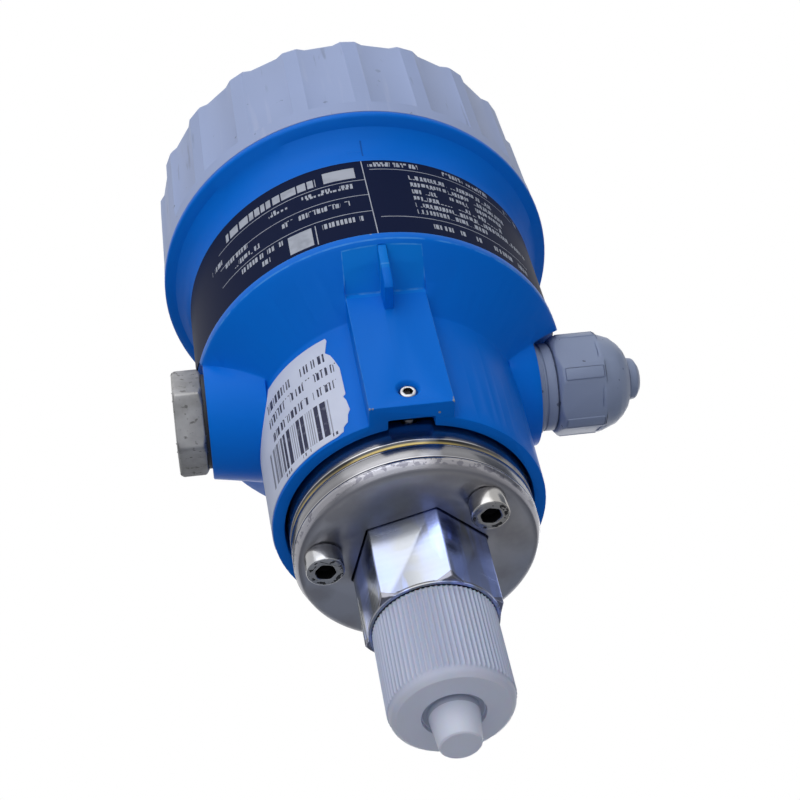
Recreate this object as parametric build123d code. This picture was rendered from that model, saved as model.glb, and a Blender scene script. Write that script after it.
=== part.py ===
import math
import os

from build123d import *

# Pressure transmitter, standing on its process thread. All sizes are in mm.
# z = 0 is the sealing shoulder under the hexagon, +Z runs up to the lid, +X runs out
# through the cable gland, and the pad with the lock screw faces -Y.

# clearances
seat_gap = 0.05
run_gap = 0.08
body_gap = 0.3

# length that carries a cut right through the part
through = 200.0

# process connection: G1/2 stub, hexagon and clamped collar
thread_r = 10.48
thread_len = 20.0
thread_chamfer = 1.0
undercut_r = 9.2
undercut_len = 2.2
port_r = 5.7
port_depth = 24.0
feed_r = 2.5
hex_af = 27.0
hex_turn = -17.0
hex_face_r = 14.3
collar_r = 18.6
collar_z0 = 22.2
face_ring_r = 13.5
face_ring_h = 0.3
collar_z1 = 26.5

# clamp flange, flush with the sensor body, and its three socket-head screws
body_r = 27.8
flange_r = body_r
flange_z0 = 20.0
flange_z1 = 23.5
flange_edge = 2.4
flange_hex_gap = 0.35
screw_pcd_r = 21.8
screw_angle = -48.5
screw_r = 2.5
screw_len = 12.4
screw_head_r = 4.25
screw_head_h = 5.0
screw_socket_af = 4.0
screw_socket_depth = 2.6

# sensor body, the steel ring stack inside the neck
body_top = 60.0
bead_z0 = 27.3
bead_z1 = 28.8
bead_depth = 0.6
lock_groove_z = 37.7
lock_groove_w = 4.8
lock_groove_depth = 1.8
lock_groove_r = body_r - lock_groove_depth
neck_ring_z = 45.5
neck_ring_r = 1.5
cell_r = 16.2
cell_z0 = 27.0
cell_z1 = 33.0
cavity_r = 20.0
lead_hole_r = 12.0
cell_ring_r = 1.3
cell_ring_major = 13.4

# clamp ring, spacer and board above the ceramic cell
clamp_ring_h = 4.0
clamp_ring_bore = 12.0
spacer_h = 4.0
spacer_bore = 16.0
board_t = 1.6
lead_half = 4.0
lead_t = 0.6
lead_y = 8.3
lead_bend = 8.0
socket_half = 6.0
socket_h = 3.0
chip_half = 3.5
filter_half = 2.5

# protective cap over the thread
cap_r = 13.2
cap_top = -0.6
cap_bottom = -23.4
cap_edge = 2.6
cap_groove_r = 6.4
cap_stub_r0 = 5.3
cap_stub_r1 = 4.1
cap_tip = -31.0

# die-cast housing
neck_gap = 0.8
neck_wall = 2.7
neck_spread = 0.7
neck_bore = body_r + neck_gap
neck_r0 = neck_bore + neck_wall
neck_r1 = neck_r0 + neck_spread
neck_z0 = 32.2
neck_z1 = 66.3
guide_z0 = 50.0
ledge_r = 22.0
ledge_h = 3.5
hub_bore = neck_bore + 0.4
floor_z = 78.0
drum_z0 = 76.8
rim_z0 = 77.6
rim_z1 = 80.0
band_z1 = 111.0
lip_z0 = 121.0
lip_z1 = 123.0
collar_top = 134.0
chamber_r = 41.8
drum_wall = 2.7
band_r = chamber_r + drum_wall
drum_r0 = band_r + 0.1
rim_r = band_r + 0.8
neck_collar_r = chamber_r + 4.4
lip_r = neck_collar_r + 4.6
pad_half = 9.3
pad_proud = 3.5
pad_y = neck_r0 + pad_proud
pad_top = 71.2
pocket_y = drum_r0 - 0.6
pocket_z = 75.2
fin_t = 2.1
fin_y = 42.0
fin_z0 = 64.9
notch_half = 5.1
notch_step = 0.5
notch_y = neck_r0 - notch_step
notch_h = 2.6

# cable entries
entry_z = 71.6
boss_r = 14.0
boss_draft = 0.17
gland_face = chamber_r - 5.6
blank_face = chamber_r + 1.3
recess_r = boss_r + 0.1
entry_hole_r = 10.0
entry_hole_len = 9.0
entry_way_r = 8.5
entry_floor = 3.0
wiring_x = gland_face - entry_floor

# lock screw in the pad
lock_r = 2.0
lock_hole_r = 2.08
lock_sink_r = 2.6
lock_face_y = pad_y - 0.8
lock_tip_gap = 0.4
lock_tip_y = lock_groove_r + lock_tip_gap
lock_socket_af = 2.0

# nameplate band and paper sticker
plate_t = 0.3
plate_z0 = rim_z1 + 0.4
plate_z1 = 110.2
plate_angle = 320.0
paper_t = 0.15
paper_z0 = neck_z0 + 0.8
paper_z1 = 64.3

# lid
lid_z0 = 123.3
lid_base_r = lip_r - 0.2
lid_base_h = 4.4
lid_top = 160.4
lid_edge = 2.8
lid_lobes = 20
lobe_r = lid_base_r - 0.1
valley_r = lobe_r - 0.95
lobe_phase = -86.5
lid_draft = 0.35
lid_wall = 3.2
lid_ring_r = 1.3
lid_ring_z = 126.2
lid_ring_groove = 2.45

# gland on the right, measured out from its boss face
gland_r = 10.8
gland_thread_r = 9.95
gland_bore = 6.4
nut_x0 = 4.9
nut_x1 = 16.4
nut_x2 = 23.6
nut_af = 23.4
nut_turn = 6.0
nut_r = 12.5
nut_bore = 5.0
nut_thread_r = 9.6
insert_x0 = 11.0
insert_x1 = 17.4
plug_r = 4.9
plug_head_r = 5.3
plug_x1 = nut_x2 + 3.2

# blanking plug on the left
blank_af = 22.4
blank_len = 7.0
blank_turn = 15.0
blank_thread_len = 7.0
blank_hollow_r = 6.5
plug_seal_t = 0.8
plug_seal_r = entry_hole_r + 1.4

# electronics
module_r = chamber_r - 1.8
module_z0 = 84.0
module_z1 = 116.0
module_flat = wiring_x - 0.8
module_wall = 2.4
post_r = 3.5
post_inset = 8.0
post_pcd_r = module_r - post_inset
post_hole_r = 4.8
main_board_rise = 16.0
main_board_z = module_z0 + main_board_rise
chip_h = 2.4
coil_r = 5.0
coil_h = 8.4
lead_plug_h = 4.0
key_r = 2.4
key_travel = 0.6
term_half_x = 13.0
term_half_y = 6.0
term_h = 10.0
term_pitch = 8.0
term_way = 5.0
term_bore = 2.6
dip_pitch = 2.54
dip_count = 4
dip_travel = 1.4


def lathe(points):
    return revolve(Plane.XZ * make_face(Polyline(*points, close=True)), Axis.Z)


def lathe_x(points):
    return revolve(Plane.XZ * make_face(Polyline(*points, close=True)), Axis.X)


def rod(radius, z0, z1, x=0.0, y=0.0):
    return Pos(x, y, z0) * extrude(Circle(radius), z1 - z0)


def ring(r_out, r_in, z0, z1):
    return rod(r_out, z0, z1) - rod(r_in, z0 - 1, z1 + 1)


def rod_x(radius, x0, x1, y=0.0, z=0.0):
    return Pos(x0, y, z) * Rot(0, 90, 0) * extrude(Circle(radius), x1 - x0)


def block(x0, x1, y0, y1, z0, z1):
    centre = Pos((x0 + x1) / 2, (y0 + y1) / 2, (z0 + z1) / 2)
    return centre * Box(x1 - x0, y1 - y0, z1 - z0)


def hex_prism(af, z0, z1, turn):
    corner = af / math.sqrt(3)
    return Pos(0, 0, z0) * Rot(0, 0, turn) * extrude(RegularPolygon(corner, 6), z1 - z0)


def o_ring(major, minor, z, turn=30):
    section = Rot(0, 0, turn) * RegularPolygon(minor / math.cos(math.pi / 6), 6)
    return revolve(Pos(major, 0, z) * Rot(90, 0, 0) * section, Axis.Z)


def around(shape, count, start=0.0):
    return [Rot(0, 0, start + i * 360 / count) * shape for i in range(count)]


def polar(radius, degrees):
    a = math.radians(degrees)
    return (radius * math.cos(a), radius * math.sin(a))


def save(name, shape):
    if isinstance(shape, (list, tuple)):
        shape = Compound(children=list(shape))
    export_step(shape, "parts/" + name + ".step")


os.makedirs("parts", exist_ok=True)

# Process connection, turned from hexagon bar.
stub = [
    (port_r, -thread_len),
    (thread_r - thread_chamfer, -thread_len),
    (thread_r, -thread_len + thread_chamfer),
    (thread_r, -undercut_len - thread_chamfer),
    (undercut_r, -undercut_len),
    (undercut_r, face_ring_h),
    (hex_face_r, face_ring_h),
    (hex_face_r, face_ring_h + 0.5),
    (port_r, face_ring_h + 0.5),
]
hexagon = hex_prism(hex_af, face_ring_h, collar_z0, hex_turn)
corner_r = hex_af / math.sqrt(3) + 0.4
slope = (corner_r - hex_face_r) * math.tan(math.radians(30))
hexagon &= lathe([(0, 0), (hex_face_r, 0), (corner_r, slope), (corner_r, 40), (0, 40)])
connection = hexagon + rod(collar_r, collar_z0, collar_z1) + lathe(stub)
connection += ring(hex_face_r, face_ring_r, 0, face_ring_h)
connection -= rod(port_r, -thread_len - 1, -thread_len + port_depth)
connection -= rod(feed_r, 0, collar_z1 + 1)
cell_groove_h = 2 * cell_ring_r - (cell_z0 - collar_z1)
connection -= ring(
    cell_ring_major + cell_ring_r + 0.3,
    cell_ring_major - cell_ring_r - 0.3,
    collar_z1 - cell_groove_h,
    collar_z1 + 1,
)
save("process_connection", connection)

# Clamp flange, cast, with a hexagonal opening that keeps the connection from turning.
flange = lathe(
    [
        (0, flange_z0),
        (flange_r - flange_edge, flange_z0),
        (flange_r - 0.4 * flange_edge, flange_z0 + 0.25 * flange_edge),
        (flange_r, flange_z0 + flange_edge),
        (flange_r, flange_z1),
        (0, flange_z1),
    ]
)
flange -= hex_prism(hex_af + 2 * flange_hex_gap, 0, 40, hex_turn)
flange -= rod(collar_r + 0.15, collar_z0, flange_z1 + 1)
hole_xy = (screw_pcd_r, 0)
for hole in around(rod(screw_r + 0.25, 0, 40, *hole_xy), 3, screw_angle):
    flange -= hole
save("clamp_flange", flange)

# Three socket-head screws.
head_z = flange_z0 - screw_head_h
screw = lathe(
    [
        (0, head_z),
        (screw_head_r, head_z),
        (screw_head_r, flange_z0),
        (screw_r, flange_z0),
        (screw_r, flange_z0 + screw_len),
        (0, flange_z0 + screw_len),
    ]
)
socket = extrude(RegularPolygon(screw_socket_af / math.sqrt(3), 6), screw_socket_depth)
screw -= Pos(0, 0, head_z) * socket
save("flange_screws", around(Pos(screw_pcd_r, 0, 0) * screw, 3, screw_angle))

# Sensor body: steel stack with a rolled bead, lock groove and ring groove.
groove_z0 = neck_ring_z - neck_ring_r - 0.25
groove_z1 = neck_ring_z + neck_ring_r + 0.25
ring_floor = neck_bore - 0.1 - 2 * neck_ring_r
lock_z0 = lock_groove_z - lock_groove_w / 2
lock_z1 = lock_groove_z + lock_groove_w / 2
bead_mid = (bead_z0 + bead_z1) / 2
sensor_body = lathe(
    [
        (collar_r + 0.15, flange_z1),
        (body_r, flange_z1),
        (body_r, bead_z0),
        (body_r - bead_depth, bead_mid),
        (body_r, bead_z1),
        (body_r, lock_z0),
        (lock_groove_r, lock_z0),
        (lock_groove_r, lock_z1),
        (body_r, lock_z1),
        (body_r, groove_z0),
        (ring_floor, groove_z0),
        (ring_floor, groove_z1),
        (body_r, groove_z1),
        (body_r, body_top),
        (lead_hole_r, body_top),
        (lead_hole_r, body_top - 3.0),
        (cavity_r, body_top - 3.0),
        (cavity_r, cell_z1),
        (cell_r + 0.15, cell_z1),
        (cell_r + 0.15, collar_z1),
        (collar_r + 0.15, collar_z1),
    ]
)
tapped = rod(screw_r + seat_gap, 0, flange_z0 + screw_len + 0.4, *hole_xy)
for hole in around(tapped, 3, screw_angle):
    sensor_body -= hole
save("sensor_body", sensor_body)
save("neck_ring", o_ring(ring_floor + neck_ring_r + 0.03, neck_ring_r, neck_ring_z))

# Ceramic cell with its ring, clamp ring, spacer and board.
cell = rod(cell_r, cell_z0, cell_z1)
save("ceramic_cell", cell)
save("cell_ring", o_ring(cell_ring_major, cell_ring_r, cell_z0 - cell_ring_r, 0))
clamp_z1 = cell_z1 + clamp_ring_h
clamp_ring = ring(cavity_r - 0.1, clamp_ring_bore, cell_z1, clamp_z1)
for slot in around(block(12, 21, -1.5, 1.5, clamp_z1 - 1.5, clamp_z1 + 1), 4, 45):
    clamp_ring -= slot
save("clamp_ring", clamp_ring)
spacer_z1 = clamp_z1 + spacer_h
save("board_spacer", ring(cavity_r - 0.2, spacer_bore, clamp_z1, spacer_z1))
board_z1 = spacer_z1 + board_t
board = rod(cavity_r - 0.3, spacer_z1, board_z1)
board += Pos(-5.5, -2) * block(-chip_half, chip_half, -4, 4, board_z1, board_z1 + 1.4)
board += Pos(5.5, 7) * block(-filter_half, filter_half, -3, 3, board_z1, board_z1 + 1.2)
socket_y = lead_y + lead_t + 0.1
board += block(
    -socket_half, socket_half, -socket_y - 4.0, -socket_y, board_z1, board_z1 + socket_h
)
save("sensor_board", board)
lead_top = module_z0 + 1.0
lead_z = board_z1 + lead_bend
lead = block(-lead_half, lead_half, -lead_y - lead_t, -lead_y, board_z1, lead_z)
lead += block(-lead_half, lead_half, -lead_y - lead_t, lead_t / 2, lead_z, lead_z + lead_t)
lead += block(-lead_half, lead_half, -lead_t / 2, lead_t / 2, lead_z, lead_top)
save("sensor_lead", lead)

# Protective cap with a moulding stub.
cap = lathe(
    [
        (0, cap_bottom + 1.0),
        (cap_groove_r, cap_bottom + 1.0),
        (cap_groove_r, cap_bottom),
        (cap_r - cap_edge, cap_bottom),
        (cap_r - 0.4 * cap_edge, cap_bottom + 0.25 * cap_edge),
        (cap_r, cap_bottom + cap_edge),
        (cap_r, cap_top),
        (thread_r + run_gap, cap_top),
        (thread_r + run_gap, -thread_len - 0.2),
        (0, -thread_len - 0.2),
    ]
)
cap += lathe(
    [
        (0, cap_tip),
        (cap_stub_r1, cap_tip),
        (cap_stub_r0, cap_bottom + 0.6),
        (cap_stub_r0, cap_bottom + 1.2),
        (0, cap_bottom + 1.2),
    ]
)
save("thread_cap", cap)

# Housing: turned shape first, then pad, pocket, fin, entry bosses and insides.
way_z0 = body_top + 0.1 + ledge_h
flare = []
flare_r = lip_r - 0.4 - band_r
for i in range(1, 5):
    t = math.radians(90 * i / 4)
    flare.append(
        (
            band_r + flare_r * (1 - math.cos(t)) ** 1.05,
            band_z1 + (lip_z0 - band_z1) * math.sin(t) ** 0.95,
        )
    )
housing = lathe(
    [
        (neck_bore, neck_z0),
        (neck_r0, neck_z0),
        (neck_r1, neck_z1),
        (drum_r0, drum_z0),
        (rim_r, rim_z0),
        (rim_r, rim_z1),
        (band_r, rim_z1 + 0.3),
        (band_r, band_z1),
    ]
    + flare
    + [
        (lip_r, lip_z0 + 0.4),
        (lip_r, lip_z1),
        (neck_collar_r, lip_z1),
        (neck_collar_r, lid_ring_z - lid_ring_r - 0.3),
        (neck_collar_r - lid_ring_groove, lid_ring_z - lid_ring_r - 0.3),
        (neck_collar_r - lid_ring_groove, lid_ring_z + lid_ring_r + 0.3),
        (neck_collar_r, lid_ring_z + lid_ring_r + 0.3),
        (neck_collar_r, collar_top),
        (chamber_r, collar_top),
        (chamber_r, floor_z),
        (hub_bore, floor_z),
        (hub_bore, way_z0),
        (ledge_r, way_z0),
        (ledge_r, body_top + 0.1),
        (body_r + run_gap, body_top + 0.1),
        (body_r + run_gap, guide_z0),
        (neck_bore, guide_z0 - 1.0),
    ]
)
inner = rod(neck_bore + 0.6, 0, floor_z + 1)
pad = block(-pad_half, pad_half, -pad_y, -neck_r0 + 8.0, neck_z0, pad_top)
pad = (pad - inner) & rod(band_r, 0, through)


def upright(points, half):
    return Plane.YZ * extrude(make_face(Polyline(*points, close=True)), half, both=True)


pocket = upright(
    [
        (-pad_y, pad_top),
        (-pocket_y, pocket_z),
        (-through, pocket_z),
        (-through, pad_top - 10.0),
        (-pad_y, pad_top - 10.0),
    ],
    pad_half,
)
housing = housing - pocket + pad
fin = upright(
    [
        (-pad_y + 0.5, fin_z0),
        (-fin_y + 0.9, fin_z0),
        (-fin_y, fin_z0 + 1.4),
        (-drum_r0 + 0.1, drum_z0 - 0.2),
        (-pad_y + 0.5, drum_z0 - 0.2),
    ],
    fin_t / 2,
)
housing += fin
entries = ((1, gland_face), (-1, blank_face))
fill_y = recess_r + 2.6
for side, face in entries:
    root_r = boss_r + boss_draft * (face - hub_bore)
    boss = lathe_x([(hub_bore, 0), (hub_bore, root_r), (face, boss_r), (face, 0)])
    boss = Pos(0, 0, entry_z) * Rot(0, 0, 90 - side * 90) * boss
    housing += boss - rod(hub_bore + 1, 0, through)
housing -= rod(chamber_r, floor_z, through)
for side, face in entries:
    wall_x = chamber_r + 0.8
    wall = rod(wall_x, 0, collar_top)
    x0, x1 = sorted((side * (wiring_x - 6.0), side * wall_x))
    housing += block(x0, x1, -fill_y, fill_y, floor_z, module_z0 - 0.5) & wall
    x0, x1 = sorted((side * wiring_x, side * wall_x))
    housing += block(x0, x1, -fill_y, fill_y, floor_z, entry_z + recess_r + 3.0) & wall
    x0, x1 = sorted((side * face, side * through))
    housing -= rod_x(recess_r, x0, x1, 0, entry_z)
    x0, x1 = sorted((side * (face - entry_hole_len), side * (face + 1)))
    housing -= rod_x(entry_hole_r, x0, x1, 0, entry_z)
    x0, x1 = sorted((side * (face - 1), side * 20.0))
    housing -= rod_x(entry_way_r, x0, x1, 0, entry_z) & rod(lip_r, way_z0, lip_z0)
notch = block(-notch_half, notch_half, -notch_y, -neck_r0 + 8.0, neck_z0 - 1, neck_z0 + notch_h)
housing -= notch
drill = Pos(0, 0, lock_groove_z) * Rot(90, 0, 0)
housing -= drill * extrude(Circle(lock_hole_r), 40)
sink = Solid.make_cone(lock_hole_r, lock_sink_r + 0.3, 1.2)
housing -= Pos(0, -(pad_y - 1.0), lock_groove_z) * Rot(90, 0, 0) * sink
posts = around(rod(post_r, floor_z - 0.5, module_z0, post_pcd_r, 0), 3, 90)
for post in posts:
    housing += post
earth_x = chamber_r - 4.7
earth_y = 9.0
earth_z = 112.0
earth = rod(3.4, module_z0 + 3.5, earth_z, earth_x, earth_y)
housing += earth & rod(chamber_r + 1, 0, collar_top)
housing -= rod(1.5, earth_z - 8, earth_z + 1, earth_x, earth_y)
for hole in around(rod(1.3, module_z0 - 5, module_z0 + 1, post_pcd_r, 0), 3, 90):
    housing -= hole
save("housing", housing)

# Nameplate band and the torn paper sticker on the neck.
plate_out = band_r + plate_t
plate_face = make_face(
    Polyline(
        (band_r, plate_z0),
        (plate_out, plate_z0),
        (plate_out, plate_z1),
        (band_r, plate_z1),
        close=True,
    )
)
plate = revolve(Plane.XZ * plate_face, Axis.Z, revolution_arc=plate_angle)
plate = Rot(0, 0, 90 + (360 - plate_angle) / 2) * plate
save("nameplate", plate - rod_x(recess_r + 0.4, -through, through, 0, entry_z))
grow = (neck_r1 - neck_r0) / (neck_z1 - neck_z0)
paper_r0 = neck_r0 + grow * (paper_z0 - neck_z0)
paper_r1 = neck_r0 + grow * (paper_z1 - neck_z0)
paper_face = make_face(
    Polyline(
        (paper_r0, paper_z0),
        (paper_r0 + paper_t, paper_z0),
        (paper_r1 + paper_t, paper_z1),
        (paper_r1, paper_z1),
        close=True,
    )
)
paper = revolve(Plane.XZ * paper_face, Axis.Z, revolution_arc=78)
paper = Rot(0, 0, 169) * paper
tear = [(-8, 26), (-17.6, 32.4), (-14.6, 33.6), (-14.4, 34.9), (-13.4, 35.8), (-13.1, 38.0)]
tear += [(-12.5, 39.2), (-12.9, 42.4), (-13.4, 43.8), (-12.8, 44.4), (-13.0, 53.0), (-13.9, 56.4)]
tear += [(-14.5, 58.2), (-15.5, 59.7), (-14.7, 63.4), (-15.4, 66), (-8, 70)]
tear_plan = make_face(Polyline(*tear, close=True))
paper -= Plane.XZ * extrude(tear_plan, 50)
paper_cut = boss_r + boss_draft * (blank_face - neck_r1) + 0.5
paper -= rod_x(paper_cut, -through, -neck_r0 / 2, 0, entry_z)
save("sticker", paper)

# Lock screw with a hexagon socket.
lock = extrude(Circle(lock_r), lock_face_y - lock_tip_y)
lock = chamfer(lock.edges(), 0.35)
lock -= Pos(0, 0, lock_face_y - lock_tip_y - 1.8) * extrude(
    RegularPolygon(lock_socket_af / math.sqrt(3), 6), 3
)
save("lock_screw", Pos(0, -lock_tip_y, lock_groove_z) * Rot(90, 0, 0) * lock)

# Lid: lobed knob outline, drawn in towards a rounded top edge, then hollowed.
def lobed(z, inset):
    outline = []
    for i in range(lid_lobes):
        base = lobe_phase + i * 360 / lid_lobes
        outline.append(polar(valley_r - inset, base - 4.6))
        outline.append(polar(lobe_r - inset, base - 2.2))
        outline.append(polar(lobe_r - inset, base + 2.2))
        outline.append(polar(valley_r - inset, base + 4.6))
    return Pos(0, 0, z) * make_face(Polyline(*outline, close=True))


lid = loft(
    [
        lobed(lid_z0 + 0.5 * lid_base_h, 0),
        lobed(lid_top - lid_edge, lid_draft),
        lobed(lid_top - 0.35 * lid_edge, lid_draft + 0.3 * lid_edge),
        lobed(lid_top, lid_draft + lid_edge),
    ],
    ruled=True,
)
lid += rod(lid_base_r, lid_z0, lid_z0 + lid_base_h)
lid -= rod(neck_collar_r + body_gap, lid_z0 - 1, collar_top + 0.8)
lid -= rod(neck_collar_r - 0.7, lid_z0, lid_top - lid_wall)
save("lid", lid)
lid_ring_major = neck_collar_r - lid_ring_groove + lid_ring_r + seat_gap
save("lid_ring", o_ring(lid_ring_major, lid_ring_r, lid_ring_z))

# Cable gland: seal, body, insert, dome nut and dust plug, drawn from the boss face.
gland = lathe_x(
    [
        (-entry_hole_len + 0.6, gland_bore),
        (-entry_hole_len + 0.6, gland_thread_r),
        (0, gland_thread_r),
        (0, gland_r + 0.6),
        (1.4, gland_r + 0.6),
        (1.4, gland_r - 0.4),
        (2.2, gland_r - 0.4),
        (2.2, gland_r),
        (nut_x0 - body_gap, gland_r),
        (nut_x0 - body_gap, nut_thread_r),
        (insert_x1, nut_thread_r),
        (insert_x1, gland_bore + 1.4),
        (insert_x0, gland_bore + 1.4),
        (insert_x0, gland_bore),
    ]
)
gland -= lathe_x(
    [
        (-1, gland_thread_r),
        (-1, gland_thread_r + 0.9),
        (0.8, gland_thread_r + 0.9),
        (0.8, gland_thread_r),
    ]
)
at_gland = Pos(gland_face, 0, entry_z)
save("gland_body", at_gland * gland)
seal = lathe_x(
    [
        (0, gland_thread_r + 0.1),
        (0, gland_thread_r + 0.8),
        (0.8, gland_thread_r + 0.8),
        (0.8, gland_thread_r + 0.1),
    ]
)
save("gland_seal", at_gland * seal)
insert = lathe_x(
    [
        (insert_x0, plug_r - 0.4),
        (insert_x0, gland_bore + 1.3),
        (insert_x1, gland_bore + 1.3),
        (insert_x1, gland_bore + 0.6),
        (nut_x2 - 2.4, gland_bore - 0.9),
        (nut_x2 - 2.4, plug_r - 0.4),
    ]
)
save("gland_insert", at_gland * insert)
nut = extrude(RegularPolygon(nut_af / math.sqrt(3), 6), nut_x1 - nut_x0)
nut = Rot(0, 0, nut_turn) * nut & extrude(Circle(nut_r), nut_x1 - nut_x0)
nut &= lathe(
    [
        (0, 0),
        (nut_r - 1.2, 0),
        (nut_r + 1.0, 2.0),
        (nut_r + 1.0, 40),
        (0, 40),
    ]
)
strip = block(nut_r - 1.8, nut_r + 0.2, -1.5, 1.5, 1.6, nut_x1 - nut_x0 - 0.5)
nut += around(strip, 6, nut_turn)
nut = Pos(nut_x0, 0, 0) * Rot(0, 90, 0) * nut
nut += lathe_x(
    [
        (nut_x1 - 1.0, 0),
        (nut_x1 - 1.0, nut_r - 0.4),
        (nut_x1, nut_r - 0.4),
        (nut_x1 + 3.6, nut_r - 1.8),
        (nut_x1 + 5.4, nut_r - 3.3),
        (nut_x1 + 6.6, nut_r - 4.8),
        (nut_x2, plug_head_r + 1.1),
        (nut_x2, 0),
    ]
)
nut -= lathe_x(
    [
        (nut_x0 - 1, 0),
        (nut_x0 - 1, nut_thread_r + run_gap),
        (insert_x1 + 0.4, nut_thread_r + run_gap),
        (insert_x1 + 0.4, gland_bore + 1.0),
        (nut_x2 - 2.0, gland_bore - 0.6),
        (nut_x2 - 2.0, nut_bore),
        (nut_x2 + 1, nut_bore),
        (nut_x2 + 1, 0),
    ]
)
save("dome_nut", at_gland * nut)
dust = lathe_x(
    [
        (insert_x0 + 2.0, 0),
        (insert_x0 + 2.0, plug_r - 0.5),
        (nut_x2 - 2.2, plug_r - 0.5),
        (nut_x2 - 2.2, plug_r),
        (nut_x2 + 0.3, plug_r),
        (nut_x2 + 0.3, plug_head_r),
        (plug_x1 - 1.0, plug_head_r - 0.3),
        (plug_x1, plug_head_r - 1.9),
        (plug_x1, 0),
    ]
)
save("dust_plug", at_gland * dust)

# Blanking plug with its seal, drawn outwards from its boss face.
blank = extrude(RegularPolygon(blank_af / math.sqrt(3), 6), blank_len)
blank = Rot(0, 0, blank_turn) * blank
trim = lathe(
    [
        (0, 0),
        (boss_r - 2.4, 0),
        (boss_r - 1.0, 0.8),
        (boss_r - 1.0, blank_len - 0.8),
        (boss_r - 2.0, blank_len),
        (0, blank_len),
    ]
)
blank &= trim
blank += rod(entry_hole_r - seat_gap, -blank_thread_len - plug_seal_t, 0.5)
blank -= rod(blank_hollow_r, -blank_thread_len - 1 - plug_seal_t, -1.5)
at_blank = Pos(-blank_face, 0, entry_z) * Rot(0, -90, 0)
save("blanking_plug", at_blank * Pos(0, 0, plug_seal_t) * blank)
save("plug_seal", at_blank * ring(plug_seal_r, entry_hole_r, 0, plug_seal_t))

# Electronics module: moulded cup with flats for the wiring, board under it.
module = rod(module_r, module_z0, module_z1) - rod(
    module_r - module_wall, module_z0 - 1, module_z1 - 3.0
)
keep = block(-module_flat, module_flat, -through, through, 0, through)
module &= keep
walls = block(-module_flat, module_flat, -module_r, module_r, module_z0, module_z1)
hollow_x = module_flat - module_wall
walls -= block(-hollow_x, hollow_x, -through, through, 0, through)
module += walls & rod(module_r, 0, through)
ears = around(rod(4.4, module_z0, module_z1 - 1, post_pcd_r, 0), 3, 90)
for ear in ears:
    module += ear & keep
term_x, term_y = 0.0, -20.0
dip_x, dip_y = -14.0, 12.0
key_x, key_y = 8.0, 12.0
key_step = 9.0
led_x, led_y = 8.0, 22.0
for hole in around(rod(1.6, 0, through, post_pcd_r, 0), 3, 90):
    module -= hole
for hole in around(rod(3.2, module_z1 - 3.0, through, post_pcd_r, 0), 3, 90):
    module -= hole
for i in range(2):
    key_at = (key_x + i * key_step, key_y)
    module += rod(key_r + 1.3, module_z1, module_z1 + 1.2, *key_at)
    module -= rod(key_r + run_gap, module_z1 - 1.0, module_z1 + 2, *key_at)
    module -= rod(key_r - 0.8, module_z1 - 4.0, module_z1, *key_at)
module -= rod(1.52, module_z1 - 4, module_z1 + 1, led_x, led_y)
dip_w = dip_pitch * dip_count + 2.0
module -= block(
    dip_x - dip_w / 2 - 0.1, dip_x + dip_w / 2 + 0.1, dip_y - 4.1, dip_y + 4.1,
    module_z1 - 2.0, module_z1 + 1,
)
save("electronics_module", module)
save("status_led", rod(1.5, module_z1 - 2.9, module_z1 + 0.3, led_x, led_y)
     + Pos(led_x, led_y, module_z1 + 0.3) * Sphere(1.5, arc_size1=0))
board_top = main_board_z + board_t
main_board = rod(module_r - module_wall - 0.4, main_board_z, board_top)
main_board &= block(-hollow_x + 0.6, hollow_x - 0.6, -through, through, 0, through)
for hole in around(rod(post_hole_r, module_z0, board_top + 1, post_pcd_r, 0), 3, 90):
    main_board -= hole
main_board += block(-12, -2, -14, -4, board_top, board_top + chip_h)
main_board += block(6, 14, -8, 2, board_top, board_top + chip_h - 0.8)
main_board += rod(coil_r, board_top, board_top + coil_h, -16, 10)
main_board += block(-6, 6, -3, 3, main_board_z - lead_plug_h, main_board_z)
save("main_board", main_board)

# Module screws.
cap_screw = lathe(
    [
        (0, module_z0 - 4.5),
        (1.25, module_z0 - 4.5),
        (1.25, module_z1 - 3.0),
        (2.75, module_z1 - 3.0),
        (2.75, module_z1 - 0.9),
        (2.3, module_z1 - 0.5),
        (0, module_z1 - 0.5),
    ]
)
cap_screw -= block(-3, 3, -0.35, 0.35, module_z1 - 1.4, module_z1)
save("module_screws", around(Pos(post_pcd_r, 0, 0) * cap_screw, 3, 90))

# Terminal block with three clamping screws.
term_top = module_z1 + term_h
term_way_z = module_z1 + term_way
term = block(
    term_x - term_half_x, term_x + term_half_x, term_y - term_half_y, term_y + term_half_y,
    module_z1, term_top,
)
term_xs = [term_x - term_pitch, term_x, term_x + term_pitch]
for x in term_xs:
    term -= rod(term_bore, term_way_z, term_top + 1, x, term_y + 1.5)
    term -= block(
        x - term_way / 2, x + term_way / 2, term_y - term_half_y - 1, term_y - 1.5,
        term_way_z - 3.5, term_way_z,
    )
save("terminal_block", term)
term_screw_top = term_top - 2.4
term_screw = rod(term_bore - 0.2, term_way_z, term_screw_top)
term_screw -= block(-3, 3, -0.4, 0.4, term_screw_top - 0.8, term_top)
save("terminal_screws", [Pos(x, term_y + 1.5, 0) * term_screw for x in term_xs])

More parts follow.
